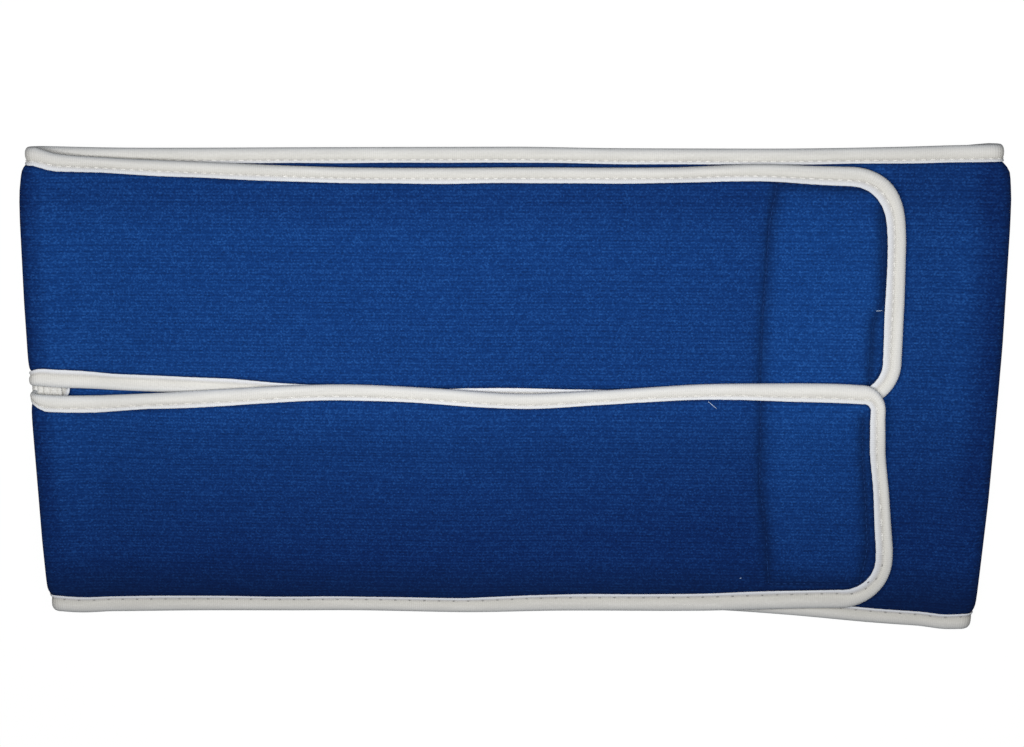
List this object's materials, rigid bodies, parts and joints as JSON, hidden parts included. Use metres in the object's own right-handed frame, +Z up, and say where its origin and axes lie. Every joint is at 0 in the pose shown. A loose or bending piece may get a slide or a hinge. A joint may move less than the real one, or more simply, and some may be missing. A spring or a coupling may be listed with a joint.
{
  "type": "abdominal binder",
  "caption": "Abdominal binder folded flat: a long soft band slit at one end into straps, bound with tape along every edge, with hook patches under the strap ends.",
  "frame": {"origin": "centre of the folded binder's footprint, on the surface it lies on", "axes": "+X along the band towards the right fold and the strap ends, +Y across it, +Z up"},
  "size_m": [0.4076, 0.2054, 0.0182],
  "materials": {
    "knit_cloth": "brushed royal blue knit on foam laminate",
    "binding_tape": "cream white woven binding tape, stitched",
    "hook_tape": "plain blue hook tape"
  },
  "bodies": {
    "root": {"panel": "knit_cloth", "edge_binding": "binding_tape", "hook_patch_upper": "hook_tape", "hook_patch_lower": "hook_tape"}
  },
  "joints": []
}
